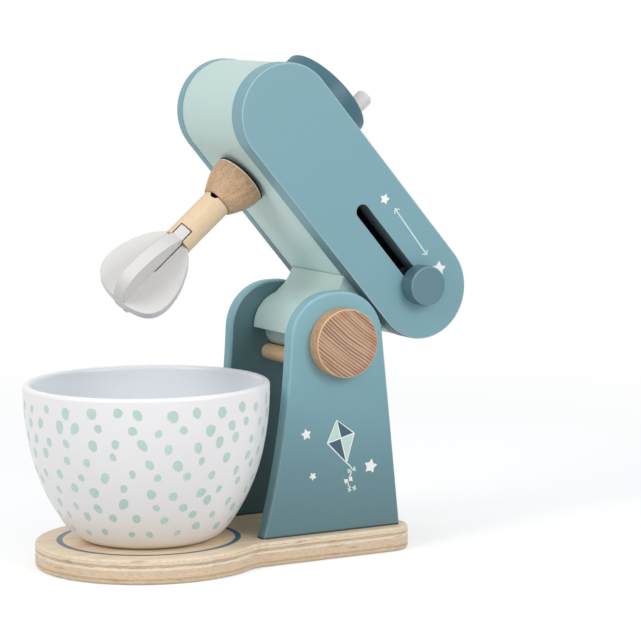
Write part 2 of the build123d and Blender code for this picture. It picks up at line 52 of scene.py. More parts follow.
# Directions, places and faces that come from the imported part
ALONG = Vector(joints["slider_travel"]["axis"])
ABOVE = Vector(joints["whisk_spin"]["axis"])
PIVOT = Vector(joints["head_tilt"]["pos_m"])
BASE_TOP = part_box("base_board")[1].z
UPRIGHT_FACE_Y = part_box("upright_right")[0].y
PLATE_FACE_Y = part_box("head_plate_right")[0].y

# The head: u runs from its rear centre towards its front, v above its centre line
HEAD_REAR = Vector((157.64, 0.0, 150.95)) * MM
HEAD_LENGTH = 134.3 * MM
CAVITY_RADIUS = 20.1 * MM
SLOT_RADIUS = 4.2 * MM
SLOT_NEAR_U = 3.0 * MM
SLOT_FAR_U = SLOT_NEAR_U + joints["slider_travel"]["range_m"][1]

# The whisk, whose axis crosses the head at WHISK_U; LAP_HALF is just over half the lap cut's width
WHISK_U = 111.4 * MM
WHISK_TURN = math.radians(39.0)
HANDLE_RADIUS = 8.55 * MM
LAP_HALF = 4.3 * MM

# Where its pieces and cuts start or end, as distances below the head's centre line
HUB_TOP = 32.0 * MM
HUB_END = 51.3 * MM
HANDLE_HOLE_END = 56.0 * MM
HANDLE_FORK_START = 76.0 * MM
LAP_END = 108.2 * MM

# The bowl: two long arcs of its wall, with their centres and their meeting as heights above the base
UPPER_ARC = 167.9 * MM
UPPER_CENTRE = 87.75 * MM
LOWER_ARC = 111.8 * MM
LOWER_CENTRE = 75.2 * MM
ARCS_MEET = 50.0 * MM

# The bowl's dots, in rows from the rim down, and their least and greatest radius
DOT_ROWS = 9
FIRST_ROW = 7.6 * MM
ROW_PITCH = 8.9 * MM
TOP_ROW_DOTS = 29.0
DOT_SMALL = 2.25 * MM
DOT_LARGE = 3.25 * MM

# Painted ring on the base
RING_INNER = 49.1 * MM
RING_OUTER = 52.5 * MM
RING_BLUR = 0.12 * MM

# Printed marks, in millimetres: x and z on the upright, u and v on the head
KITE_CENTRE = (103.0, 68.0)
KITE_WIDTH = 19.0
KITE_HEIGHT = 27.0
KITE_LEAN = 14.0
ARROW_START = (12.3, 15.0)
ARROW_END = (47.2, 16.7)
ARROW_WIDTH = 0.75
ARROW_BARB = 2.3

# Each star: its centre, its radius and its turn in degrees
UPRIGHT_STARS = (((80.5, 72.0), 3.6, 10), ((122.5, 50.0), 4.6, -12), ((84.5, 47.5), 2.6, 30))
HEAD_STARS = (((56.0, 15.3), 3.4, 40), ((0.5, 15.6), 5.0, 25))

# Ink on a board's face, ink over ink, how much each stroke of the arrow adds, and how deep all sit
INK = 0.10 * MM
INK_ABOVE = 0.16 * MM
INK_STEP = 0.02 * MM
INK_SUNK = 0.01 * MM

# The photograph's view: angles in degrees round a target, and the focal length in pixels
AZIMUTH, ELEVATION, ROLL = -29.028, 7.027, -0.537
TARGET = Vector((0.11321, 0.0, 0.13089))
DISTANCE = 1.743
FOCAL_PIXELS = 2988.45
PHOTO_WIDTH = 641.0
SENSOR_WIDTH = 36.0

# Each lamp: its place, its width and its power in watts
LAMPS = {
    "front": ((0.25, -0.75, 0.42), 0.35, 2.0),
    "left": ((-1.2, -0.3, 0.9), 0.8, 8.7),
    "right": ((1.2, -0.8, 1.1), 0.8, 1.9),
}
LAMP_AIM = (0.06, 0.0, 0.12)

# The world's light goes from dim to bright between two shares of the way up
SKY_LOW, SKY_HIGH = 0.25, 1.0
SKY_DIM, SKY_BRIGHT = 0.36, 0.83

# The floor: half its width, its place below the base, its glow and where it fades to white
FLOOR_HALF = 6.0
FLOOR_DROP = 0.2 * MM
FLOOR_GLOW = 0.42
FADE_START, FADE_END = 0.45, 0.9

# Colours as they look in plain light
BLUE = "#7EA9B3"
SLATE = "#416C7A"
KNOB_SLATE = "#5F8390"
MINT = "#CBE3DE"
WARM_GREY = "#E2DFDC"
# Lighter edges: wear and a painted highlight
WORN_EDGE_AND_HIGHLIGHT = "#EDE6D8"
# Painted highlight on the boards' rounded rims
ROUNDING_HIGHLIGHT_PALE = "#D8E6E8"
# Painted highlight round the hub's upper edge
RIM_HIGHLIGHT = "#F7E3C6"
# Painted shadow where the handle enters the hub
JOINT_SHADOW_BROWN = "#77583F"
WHITE = "#F8F6F7"
# Painted shade inside the bowl, and its painted sheen
INSIDE_SHADE_WHITE = "#EAECF0"
SHEEN_WHITE = "#FAFBFC"
DOT_MINT = "#CCE4DC"
DOT_DEEP = "#C0DCD1"
RING_SLATE = "#4F6E80"
# Dark slate on the slider's stem and shoe, and painted shade on the walls of the slot and hollow
SLOT_SLATE = "#62747C"
# Painted shade in the handle's hole and fork and in the blade's cut
HOLE_BLACK = "#1A1613"
PRINT_WHITE = "#FCFCFA"
PRINT_PALE = "#DDF2ED"
PRINT_MINT = "#C4E3D8"
PRINT_NAVY = "#3F5E70"


def linear(code):
    """Scene-linear colour from a six-digit code."""
    channels = []
    for start in (1, 3, 5):
        value = int(code[start:start + 2], 16) / 255
        channels.append(value / 12.92 if value <= 0.04045 else ((value + 0.055) / 1.055) ** 2.4)
    return (*channels, 1.0)


class Graph:
    """A node material under construction."""

    def __init__(self, name):
        self.material = bpy.data.materials.new(name)
        self.material.use_nodes = True
        self.tree = self.material.node_tree
        self.shader = self.tree.nodes["Principled BSDF"]
        self.place = self.node("ShaderNodeTexCoord").outputs["Object"]

    def node(self, kind, **settings):
        made = self.tree.nodes.new(kind)
        for key, value in settings.items():
            setattr(made, key, value)
        return made

    def feed(self, socket, source):
        """Sets an input from a socket, a colour code or plain numbers."""
        if isinstance(source, bpy.types.NodeSocket):
            self.tree.links.new(source, socket)
        elif isinstance(source, str):
            socket.default_value = linear(source)
        elif isinstance(source, Vector):
            socket.default_value = tuple(source)
        else:
            socket.default_value = source

    def math(self, operation, first, second=0.0, third=0.0):
        made = self.node("ShaderNodeMath", operation=operation)
        for socket, source in zip(made.inputs, (first, second, third)):
            self.feed(socket, source)
        return made.outputs[0]

    def times(self, first, *others):
        for other in others:
            first = self.math("MULTIPLY", first, other)
        return first

    def plus(self, first, *others):
        for other in others:
            first = self.math("ADD", first, other)
        return first

    def minus(self, first, second):
        return self.math("SUBTRACT", first, second)

    def over(self, first, second):
        return self.math("DIVIDE", first, second)

    def length(self, first, second):
        """Length of two sides of a right angle taken together."""
        return self.math("SQRT", self.plus(self.times(first, first), self.times(second, second)))

    def vector(self, operation, first, second=None):
        made = self.node("ShaderNodeVectorMath", operation=operation)
        self.feed(made.inputs[0], first)
        if second is not None:
            self.feed(made.inputs["Scale" if operation == "SCALE" else 1], second)
        return made.outputs["Value" if operation in ("DOT_PRODUCT", "LENGTH") else "Vector"]

    def dot(self, axis, source=None):
        return self.vector("DOT_PRODUCT", self.place if source is None else source, axis)

    def combine(self, x, y, z):
        made = self.node("ShaderNodeCombineXYZ")
        for socket, source in zip(made.inputs, (x, y, z)):
            self.feed(socket, source)
        return made.outputs[0]

    def split(self, source=None):
        made = self.node("ShaderNodeSeparateXYZ")
        self.feed(made.inputs[0], self.place if source is None else source)
        return made.outputs

    def normal(self):
        return self.node("ShaderNodeNewGeometry").outputs["Normal"]

    def sideways(self):
        """How far the surface faces to either side of the toy, from zero to one."""
        return self.math("ABSOLUTE", self.dot(ACROSS, self.normal()))

    def noise(self, scale, detail=2.0, roughness=0.5, at=None, colour=False):
        made = self.node("ShaderNodeTexNoise")
        self.feed(made.inputs["Vector"], self.place if at is None else at)
        made.inputs["Scale"].default_value = scale
        made.inputs["Detail"].default_value = detail
        made.inputs["Roughness"].default_value = roughness
        return made.outputs["Color" if colour else "Fac"]

    def random(self, at):
        """Three even random numbers for a whole-number place."""
        made = self.node("ShaderNodeTexWhiteNoise", noise_dimensions="3D")
        self.feed(made.inputs["Vector"], at)
        return self.split(made.outputs["Color"])

    def step(self, value, low, high, start=0.0, end=1.0):
        """Smooth change from start to end as the value goes from low to high."""
        made = self.node("ShaderNodeMapRange", interpolation_type="SMOOTHSTEP")
        for socket, source in zip(made.inputs, (value, low, high, start, end)):
            self.feed(socket, source)
        return made.outputs[0]

    def spread(self, value, low, high):
        """A value around one half turned into one from low to high."""
        return self.math("MULTIPLY_ADD", value, high - low, low)

    def centred(self, value, width):
        """A value around one half turned into one around zero."""
        return self.times(self.minus(value, 0.5), width)

    def colour(self, code):
        made = self.node("ShaderNodeRGB")
        made.outputs[0].default_value = linear(code)
        return made.outputs[0]

    def mix(self, factor, first, second):
        """Two colours blended by a factor. Inputs 6 and 7 and output 2 are the node's colour sockets."""
        made = self.node("ShaderNodeMix", data_type="RGBA")
        self.feed(made.inputs[0], factor)
        self.feed(made.inputs[6], first)
        self.feed(made.inputs[7], second)
        return made.outputs[2]

    def shade(self, colour, factor):
        """A colour made darker or lighter by a factor."""
        return self.vector("SCALE", colour, factor)

    def ramp(self, value, stops):
        made = self.node("ShaderNodeValToRGB")
        self.feed(made.inputs[0], value)
        elements = made.color_ramp.elements
        while len(elements) < len(stops):
            elements.new(0.5)
        for element, (place, code) in zip(elements, stops):
            element.position = place
            element.color = linear(code)
        return made.outputs["Color"]

    def soft_normal(self, radius):
        made = self.node("ShaderNodeBevel", samples=6)
        made.inputs["Radius"].default_value = radius
        return made.outputs[0]

    def edge(self, radius):
        """One on the outer edges within the radius, zero on flat faces."""
        facing = self.vector("DOT_PRODUCT", self.soft_normal(radius), self.normal())
        return self.step(facing, 0.985, 0.86)

    def finish(self, colour, roughness, height=None, depth=0.0, strength=0.0, normal=None):
        """Connects colour, roughness and bump to the shader."""
        self.feed(self.shader.inputs["Base Color"], colour)
        self.feed(self.shader.inputs["Roughness"], roughness)
        if height is not None:
            bump = self.node("ShaderNodeBump")
            bump.inputs["Strength"].default_value = strength
            bump.inputs["Distance"].default_value = depth
            self.feed(bump.inputs["Height"], height)
            if normal is not None:
                self.feed(bump.inputs["Normal"], normal)
            self.feed(self.shader.inputs["Normal"], bump.outputs[0])
        return self.material


def satin_paint(name, code, gloss=0.44, edge_wear_and_highlight=0.28, painted_light_shade=None, rounding_highlight=0.0):
    """Sprayed satin paint on sanded wood, lighter along the edges from wear and a painted highlight, with
    optional painted light and shade and a painted highlight on a board's rounding.
    """
    g = Graph(name)
    cloud = g.noise(14.0, 3.0)
    fibre = g.noise(420.0, 4.0, 0.6, at=g.vector("MULTIPLY", g.place, Vector((1.0, 1.0, 0.35))))
    speck = g.noise(1500.0, 2.0)
    tone = g.plus(g.spread(cloud, -0.035, 0.035), g.spread(fibre, -0.02, 0.02), 1.0)
    # Painted light and shade from the piece's own function, on top of the random tone
    if painted_light_shade is not None:
        tone = g.times(tone, painted_light_shade(g))
    base = g.shade(g.colour(code), tone)
    # Wear and a painted highlight: lighter along the outer edges, broken by noise
    wear_and_highlight = g.times(g.edge(0.6 * MM), g.step(g.noise(180.0, 3.0), 0.20, 0.55))
    base = g.mix(g.times(wear_and_highlight, edge_wear_and_highlight), base, WORN_EDGE_AND_HIGHLIGHT)
    # Painted highlight on the rounding between a board's face and its rim
    if rounding_highlight > 0.0:
        light = g.times(board_rounding(g), g.spread(cloud, 0.6 * rounding_highlight, 1.4 * rounding_highlight))
        base = g.mix(light, base, ROUNDING_HIGHLIGHT_PALE)
    rough = g.plus(g.spread(speck, -0.05, 0.05), gloss)
    height = g.plus(g.times(fibre, 0.6), g.times(speck, 0.4))
    return g.finish(base, rough, height, 0.06 * MM, 0.35, g.soft_normal(0.5 * MM))


def board_rounding(g):
    """One on the rounding between a board's face and its rim, zero on both."""
    sideways = g.sideways()
    return g.times(g.step(sideways, 0.62, 0.78), g.step(sideways, 0.985, 0.93))


def along_head(g):
    """Distance from the head's rear centre towards its front."""
    return g.dot(ALONG, g.vector("SUBTRACT", g.place, HEAD_REAR))


def below_head(g):
    """Distance below the head's centre line, along the whisk."""
    return g.dot(-ABOVE, g.vector("SUBTRACT", g.place, HEAD_REAR))


def upright_painted_shade(g):
    """Uprights: painted light towards the top, painted shade towards the foot and on the faces turned to
    each other, and a painted shadow at the joint with the base.
    """
    height = g.dot(UP)
    # Painted light and shade: darker towards the foot, lighter towards the top
    height_light_shade = g.step(height, 5.0 * MM, 150.0 * MM, 0.56, 1.20)
    # Painted shadow in a thin line along the joint with the base
    joint_shadow = g.step(height, BASE_TOP + 0.6 * MM, BASE_TOP + 1.5 * MM, 0.2, 1.0)
    # Painted shade on the faces turned to each other, deepest towards the top
    outward = g.times(g.math("SIGN", g.dot(ACROSS)), g.dot(ACROSS, g.normal()))
    inner = g.step(outward, -0.80, -0.97)
    depth = g.times(inner, g.step(height, 95.0 * MM, 140.0 * MM, -0.39, -0.55))
    return g.times(height_light_shade, joint_shadow, g.plus(depth, 1.0))


def plate_painted_shade(g):
    """Side boards: painted shade under the rim where it passes the uprights."""
    rim = g.step(g.sideways(), 0.8, 0.5)
    under = g.step(below_head(g), 20.0 * MM, 27.0 * MM)
    by_uprights = g.step(along_head(g), 78.0 * MM, 42.0 * MM)
    return g.math("MULTIPLY_ADD", g.times(rim, under, by_uprights), -0.55, 1.0)


def core_painted_light_shade(g):
    """Head core: painted shade on the round front, painted light towards the neck."""
    return g.step(along_head(g), 98.0 * MM, 138.0 * MM, 1.12, 0.95)


def neck_painted_shade(g):
    """Neck: painted shade on the flare, darker than the barrel."""
    return g.step(below_head(g), 36.0 * MM, 50.0 * MM, 0.84, 1.0)


def knob_painted_shade(g):
    """Slider knob: painted shade on its turned side."""
    return g.step(g.sideways(), 0.3, 0.9, 0.72, 1.0)


def hub_rim_highlight(g, base):
    """Painted highlight: a light line round the hub's upper edge."""
    below = below_head(g)
    rim = g.times(g.step(below, HUB_TOP + 0.1 * MM, HUB_TOP + 0.3 * MM),
                  g.step(below, HUB_TOP + 1.1 * MM, HUB_TOP + 0.8 * MM))
    return g.mix(g.times(rim, 0.8), base, RIM_HIGHLIGHT)


def hub_joint_shadow(g, base):
    """Painted shadow: a dark line on the handle where it enters the hub."""
    joint_shadow = g.step(below_head(g), HUB_END + 0.8 * MM, HUB_END + 0.2 * MM)
    return g.mix(g.times(joint_shadow, 0.6), base, JOINT_SHADOW_BROWN)


def grain_place(g, direction, stretch):
    """Object place with the given direction turned to Z and drawn out along it."""
    along = direction.normalized()
    side = along.cross(Vector((0.0, 0.31, 1.0))).normalized()
    other = along.cross(side)
    return g.combine(g.dot(side), g.dot(other), g.times(g.dot(along), stretch))


def turned_wood(name, direction, light, dark, fleck, ring, fleck_share, coarse=0.06, line=None):
    """Bare wood with growth lines, fine fibres and short darker flecks along the grain."""
    g = Graph(name)
    drawn = grain_place(g, direction, 0.07)
    bent = g.vector("ADD", drawn, g.vector("SCALE", g.noise(60.0, 2.0, at=drawn, colour=True), 0.004))
    lines = g.noise(330.0, 3.0, 0.55, at=bent)
    fibre = g.noise(1700.0, 3.0, 0.6, at=grain_place(g, direction, 0.05))
    dashes = g.noise(2300.0, 1.5, 0.5, at=grain_place(g, direction, 0.12))
    dash = g.times(g.step(dashes, 0.50, 0.70), fleck_share)
    base = g.mix(g.step(lines, 0.5 - ring, 0.5 + ring), dark, light)
    base = g.shade(base, g.spread(fibre, 1.0 - coarse, 1.0 + coarse))
    base = g.mix(dash, base, fleck)
    if line is not None:
        base = line(g, base)
    height = g.minus(fibre, g.times(dash, 0.8))
    return g.finish(base, g.spread(fibre, 0.50, 0.60), height, 0.08 * MM, 0.4, g.soft_normal(0.4 * MM))


def ridged_beech(name):
    """Coarse end faces of the pivot knobs with bent dark lines and painted highlights along the ridges,
    plain turned sides, and a painted highlight on the rim between them.
    """
    g = Graph(name)
    slope = math.radians(-38.0)
    run = Vector((math.cos(slope), 0.0, math.sin(slope)))
    rise = Vector((-math.sin(slope), 0.0, math.cos(slope)))
    local = g.vector("SUBTRACT", g.place, PIVOT)
    u = g.dot(run, local)
    v = g.dot(rise, local)
    y = g.dot(ACROSS)

    # Grooves across the end face, swaying and bent
    sway = g.noise(55.0, 2.0, at=g.combine(g.times(u, 0.6), v, y))
    v = g.plus(v, g.centred(sway, 3.2 * MM))
    v = g.minus(v, g.times(u, u, 3.0))
    broad = g.noise(620.0, 2.0, 0.55, at=g.combine(g.times(u, 0.03), v, g.times(y, 0.2)))
    fine = g.noise(2600.0, 2.0, 0.5, at=g.combine(g.times(u, 0.10), v, y))
    groove_pitch = 1.75 * MM
    wave = g.math("SINE", g.times(v, 2 * math.pi / groove_pitch))
    ridge = g.plus(g.times(wave, 0.20), broad)
    groove = g.step(ridge, 0.26, 0.56)
    # Painted highlight as a light line along each ridge
    crest_highlight = g.step(ridge, 0.62, 0.74)

    # Redder patches, stronger towards the rim
    away = g.vector("LENGTH", g.vector("MULTIPLY", local, Vector((1.0, 0.0, 1.0))))
    outer = g.step(away, 9.0 * MM, 18.5 * MM, 0.75, 1.45)
    flush = g.times(g.noise(70.0, 1.0, at=g.combine(u, v, 3.0)), outer)
    body = g.mix(g.step(flush, 0.55, 0.90), "#C6A285", "#C38D73")
    face = g.mix(groove, "#8F6C55", body)
    face = g.mix(g.times(crest_highlight, 0.35), face, "#E0C5A6")
    face = g.shade(face, g.spread(fine, 0.80, 1.20))

    side = g.mix(g.step(g.noise(260.0, 3.0), 0.35, 0.65), "#BD9470", "#CBA47E")
    side = g.shade(side, g.spread(fine, 0.95, 1.05))
    sideways = g.sideways()
    front = g.step(sideways, 0.86, 0.97)
    # Painted highlight on the rounding between the end face and the side
    rim = g.times(g.step(sideways, 0.30, 0.60), g.step(sideways, 0.97, 0.90))
    base = g.mix(front, g.mix(rim, side, "#DDBE93"), face)
    height = g.times(g.plus(groove, g.times(fine, 0.25)), front)
    return g.finish(base, g.spread(groove, 0.72, 0.55), height, 0.30 * MM, 0.5)


def ply_edge(g, x, y, z):
    """Colour of the base's edge, with plies, broken glue lines, patches and pores, and the pores."""
    wander = g.noise(26.0, 2.0, at=g.combine(x, y, 0.0))
    ripple = g.noise(210.0, 2.0, at=g.combine(x, y, g.times(z, 2.0)))
    level = g.plus(z, g.centred(wander, 0.5 * MM), g.centred(ripple, 0.7 * MM))
    share = g.over(level, BASE_TOP)
    pale, cream, tan, pink, brown = "#EAD6BA", "#F4E6D0", "#E3CAA9", "#E7CCAE", "#CFAE89"
    plies = [(0.0, tan), (0.07, pale), (0.12, tan), (0.20, brown), (0.27, pink), (0.42, tan), (0.54, pink),
             (0.58, cream), (0.65, cream), (0.69, tan), (0.75, brown), (0.79, pale), (0.83, cream),
             (0.87, tan), (0.90, pale), (1.0, pale)]
    edge = g.ramp(share, plies)

    # Each glue line: its middle and half its width as shares of the board, and its strength
    none, faint, full = "#000000", "#A0A0A0", "#FFFFFF"
    glue_lines = [(0.0, none)]
    for middle, half, strength in ((0.21, 0.04, faint), (0.685, 0.03, full), (0.76, 0.025, faint)):
        glue_lines += [(middle - half, none), (middle, strength), (middle + half, none)]
    broken = g.noise(38.0, 3.0, 0.6, at=g.combine(x, y, g.times(z, 3.0)))
    glue = g.times(g.ramp(share, glue_lines), g.step(broken, 0.36, 0.66, 0.12, 0.9))
    edge = g.mix(glue, edge, "#AE835F")

    patches = g.noise(70.0, 3.0, 0.6, at=g.combine(x, y, g.times(z, 8.0)))
    edge = g.mix(g.step(patches, 0.57, 0.74, 0.0, 0.6), edge, "#9F7A5C")
    edge = g.mix(g.step(patches, 0.44, 0.26, 0.0, 0.5), edge, "#F0E0C8")
    pores = g.noise(1300.0, 3.0, 0.6, at=g.combine(g.times(x, 0.30), g.times(y, 0.30), z))
    return g.shade(edge, g.spread(pores, 0.74, 1.26)), pores


def ply_face(g, x, y, z):
    """Colour of the pale face veneer, with its grain along X, and the grain's fibre."""
    drawn = g.combine(g.times(x, 0.05), y, g.times(z, 0.3))
    bent = g.vector("ADD", drawn, g.vector("SCALE", g.noise(22.0, 2.0, colour=True), 0.004))
    lines = g.noise(240.0, 4.0, 0.6, at=bent)
    fibre = g.noise(1600.0, 3.0, 0.6, at=drawn)
    veneer = g.mix(g.step(lines, 0.3, 0.72), "#E1C8A6", "#F0DDC1")
    return g.shade(veneer, g.spread(fibre, 0.95, 1.05)), fibre


def base_ring(g, x, y, z):
    """One on the ring painted on the base's top, zero elsewhere."""
    radius = g.length(x, y)
    ring = g.times(g.step(radius, RING_INNER - RING_BLUR, RING_INNER + RING_BLUR),
                   g.step(radius, RING_OUTER + RING_BLUR, RING_OUTER - RING_BLUR))
    return g.times(ring, g.step(z, BASE_TOP - 0.4 * MM, BASE_TOP - 0.2 * MM))


def plywood(name):
    """Clear-lacquered plywood: pale face veneers, layered edge and the painted ring on top."""
    g = Graph(name)
    x, y, z = g.split()
    edge, pores = ply_edge(g, x, y, z)
    veneer, fibre = ply_face(g, x, y, z)
    ring = base_ring(g, x, y, z)
    flat = g.math("ABSOLUTE", g.dot(UP, g.normal()))
    base = g.mix(g.step(flat, 0.80, 0.97), edge, veneer)
    base = g.mix(ring, base, g.shade(g.colour(RING_SLATE), g.spread(fibre, 0.95, 1.05)))
    rough = g.plus(g.spread(fibre, 0.40, 0.52), g.times(ring, -0.04))
    height = g.plus(fibre, g.times(pores, 0.6))
    return g.finish(base, rough, height, 0.07 * MM, 0.35, g.soft_normal(0.4 * MM))


def wall_length(g, height):
    """Length along the bowl's wall from its rim down, from the wall's two long arcs."""
    above = g.over(g.minus(UPPER_CENTRE, g.math("MAXIMUM", height, ARCS_MEET)), UPPER_ARC)
    below = g.over(g.minus(LOWER_CENTRE, g.math("MINIMUM", height, ARCS_MEET)), LOWER_ARC)
    start = LOWER_ARC * math.asin((LOWER_CENTRE - ARCS_MEET) / LOWER_ARC)
    lower = g.minus(g.times(g.math("ARCSINE", below), LOWER_ARC), start)
    return g.plus(g.times(g.math("ARCSINE", above), UPPER_ARC), lower)


def bowl_dots(g, x, y, z, height):
    """One on the loose rows of uneven dots round the bowl, zero between them."""
    drift = g.noise(30.0, 1.0, 0.4, at=g.combine(x, y, g.times(z, 0.4)))
    length = g.plus(wall_length(g, height), g.centred(drift, 8.0 * MM))
    row_place = g.over(g.minus(length, FIRST_ROW), ROW_PITCH)
    row = g.math("ROUND", row_place)
    down = g.times(g.minus(row_place, row), ROW_PITCH)

    # Each group of three rows has three dots fewer than the one above it
    group = g.math("FLOOR", g.over(row, 3.0))
    count = g.math("MULTIPLY_ADD", group, -3.0, TOP_ROW_DOTS)
    turn = g.over(g.math("ARCTAN2", y, x), 2 * math.pi)
    shift = g.math("MULTIPLY_ADD", row, 0.5, g.times(group, 0.37))
    column_place = g.plus(g.times(turn, count), shift)
    column = g.math("FLOOR", column_place)
    aside = g.minus(g.minus(column_place, column), 0.5)

    # Every dot is moved a little out of its row and column
    wrapped = g.math("FLOORED_MODULO", column, count)
    first_random = g.random(g.combine(wrapped, row, 11.0))
    second_random = g.random(g.combine(wrapped, row, 23.0))
    aside = g.minus(aside, g.spread(first_random[0], -0.16, 0.16))
    aside = g.times(aside, g.over(g.times(g.length(x, y), 2 * math.pi), count))
    loose = g.step(row, 0.0, 3.0, 0.9 * MM, 1.9 * MM)
    down = g.minus(down, g.times(g.spread(first_random[1], -1.0, 1.0), loose))

    # Its outline is a leaning egg shape with a ragged edge
    lean = g.spread(second_random[0], math.pi / 2 - 0.75, math.pi / 2 + 0.75)
    cosine = g.math("COSINE", lean)
    sine = g.math("SINE", lean)
    long_way = g.plus(g.times(aside, cosine), g.times(down, sine))
    short_way = g.minus(g.times(down, cosine), g.times(aside, sine))
    size = g.minus(g.spread(first_random[2], DOT_SMALL, DOT_LARGE), g.times(row, 0.05 * MM))
    taper = g.math("MULTIPLY_ADD", g.over(long_way, size), 0.13, 1.0)
    stretch = g.spread(second_random[1], 1.02, 1.17)
    long_way = g.over(long_way, stretch)
    short_way = g.times(short_way, stretch, taper)
    reach = g.plus(g.length(long_way, short_way), g.centred(g.noise(240.0, 1.0), 0.8 * MM))
    dot = g.step(g.minus(reach, size), 0.16 * MM, -0.16 * MM)
    in_rows = g.times(g.math("GREATER_THAN", row, -0.5), g.math("LESS_THAN", row, DOT_ROWS - 0.5))
    return g.times(dot, in_rows)


def bowl_paint(name):
    """White satin paint with loose rows of uneven mint dots on the outside only; painted shade inside,
    with a painted sheen high on the side towards -X.
    """
    g = Graph(name)
    x, y, z = g.split()
    height = g.minus(z, BASE_TOP)
    normal = g.normal()
    outward = g.vector("DOT_PRODUCT", normal, g.vector("NORMALIZE", g.combine(x, y, 0.0)))
    dot = g.times(bowl_dots(g, x, y, z, height), g.math("GREATER_THAN", outward, 0.3))

    floor_inside = g.times(g.math("GREATER_THAN", g.dot(UP, normal), 0.2),
                           g.math("LESS_THAN", height, 30.0 * MM))
    # Painted shade: the inside is a darker, bluish white; painted sheen high up on the side towards -X
    inside = g.math("MAXIMUM", g.step(outward, -0.15, -0.6), floor_inside)
    sheen = g.times(g.step(x, -8.0 * MM, -60.0 * MM), g.step(height, 62.0 * MM, 96.0 * MM))
    white = g.mix(inside, WHITE, g.mix(sheen, INSIDE_SHADE_WHITE, SHEEN_WHITE))
    white = g.shade(white, g.spread(g.noise(16.0, 2.0), 0.98, 1.02))
    brushed = g.noise(700.0, 3.0)
    mint = g.mix(g.step(g.noise(40.0, 2.0), 0.3, 0.7), DOT_MINT, DOT_DEEP)
    mint = g.shade(mint, g.spread(brushed, 0.97, 1.03))
    rough = g.plus(g.spread(brushed, 0.27, 0.35), g.times(dot, 0.06))
    bump = g.plus(g.times(brushed, 0.25), g.times(dot, 0.5))
    return g.finish(g.mix(dot, white, mint), rough, bump, 0.05 * MM, 0.35)


def matt(name, code, rough, scale=600.0, strength=0.3, metal=0.0):
    """Plain stain, rubber, plastic or metal with a fine uneven surface."""
    g = Graph(name)
    fine = g.noise(scale, 3.0)
    g.shader.inputs["Metallic"].default_value = metal
    base = g.shade(g.colour(code), g.spread(fine, 0.92, 1.08))
    return g.finish(base, g.spread(fine, rough - 0.06, rough + 0.06), fine, 0.04 * MM, strength)


def print_ink(name, code):
    """Screen-printed ink: flat colour, slightly uneven, matt."""
    g = Graph(name)
    grit = g.noise(1400.0, 3.0)
    base = g.shade(g.colour(code), g.spread(grit, 0.96, 1.04))
    return g.finish(base, g.spread(grit, 0.50, 0.60), grit, 0.02 * MM, 0.2)


def head_place(u, v, y):
    """Point on the raised head: u towards its front, v above its centre line."""
    point = HEAD_REAR + ALONG * (u * MM) + ABOVE * (v * MM)
    return Vector((point.x, y, point.z))


def upright_place(x, z, y):
    return Vector((x * MM, y, z * MM))


def printed_shape(name, outline, place, face_y, ink, body, thickness=INK):
    """Thin closed layer of ink: a flat outline laid on a board's outer face."""
    mesh = bpy.data.meshes.new(name)
    bm = bmesh.new()
    back = [bm.verts.new(place(a, b, face_y - INK_SUNK)) for a, b in outline]
    front = [bm.verts.new(place(a, b, face_y - thickness)) for a, b in outline]
    bm.faces.new(back)
    bm.faces.new(front[::-1])
    for index in range(len(outline)):
        following = (index + 1) % len(outline)
        bm.faces.new((back[following], back[index], front[index], front[following]))
    bmesh.ops.recalc_face_normals(bm, faces=bm.faces)
    bm.to_mesh(mesh)
    bm.free()
    piece = bpy.data.objects.new(name, mesh)
    bpy.context.scene.collection.objects.link(piece)
    piece.data.materials.append(ink)
    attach(piece, body)


def star(centre, radius, turn):
    """Five-pointed star with rounded tips, as points round its outline."""
    waist = 0.52
    corner_points = 5
    cx, cy = centre
    corners = []
    for index in range(10):
        reach = radius if index % 2 == 0 else radius * waist
        angle = math.radians(turn + 90 + 36 * index)
        corners.append(Vector((cx + reach * math.cos(angle), cy + reach * math.sin(angle))))
    points = []
    for index, corner in enumerate(corners):
        before, after = corners[index - 1], corners[(index + 1) % 10]
        cut = 0.30 if index % 2 == 0 else 0.18
        enter = corner.lerp(before, cut)
        leave = corner.lerp(after, cut)
        for part in range(corner_points):
            t = part / (corner_points - 1)
            points.append(enter.lerp(corner, t).lerp(corner.lerp(leave, t), t))
    return [tuple(point) for point in points]


def band(points, width):
    """Outline of a narrow stripe of even width along a line of points."""
    left, right = [], []
    for index, point in enumerate(points):
        before = points[max(index - 1, 0)]
        after = points[min(index + 1, len(points) - 1)]
        along = (Vector(after) - Vector(before)).normalized()
        side = Vector((-along.y, along.x)) * width / 2
        left.append(tuple(Vector(point) + side))
        right.append(tuple(Vector(point) - side))
    return left + right[::-1]


def arrow(start, end, width, barb):
    """Outlines of a shaft and the two open heads at its ends."""
    first, last = Vector(start), Vector(end)
    along = (last - first).normalized()
    side = Vector((-along.y, along.x))
    shapes = [band([tuple(first + along * width), tuple(last - along * width)], width)]
    for tip, way in ((first, along), (last, -along)):
        arms = [tip + way * barb + side * barb * 0.85, tip, tip + way * barb - side * barb * 0.85]
        shapes.append(band([tuple(arm) for arm in arms], width))
    return shapes


def turned(points, centre, angle):
    """Points turned about a centre."""
    swing = Matrix.Rotation(math.radians(angle), 2)
    middle = Vector(centre)
    return [tuple(middle + swing @ (Vector(point) - middle)) for point in points]


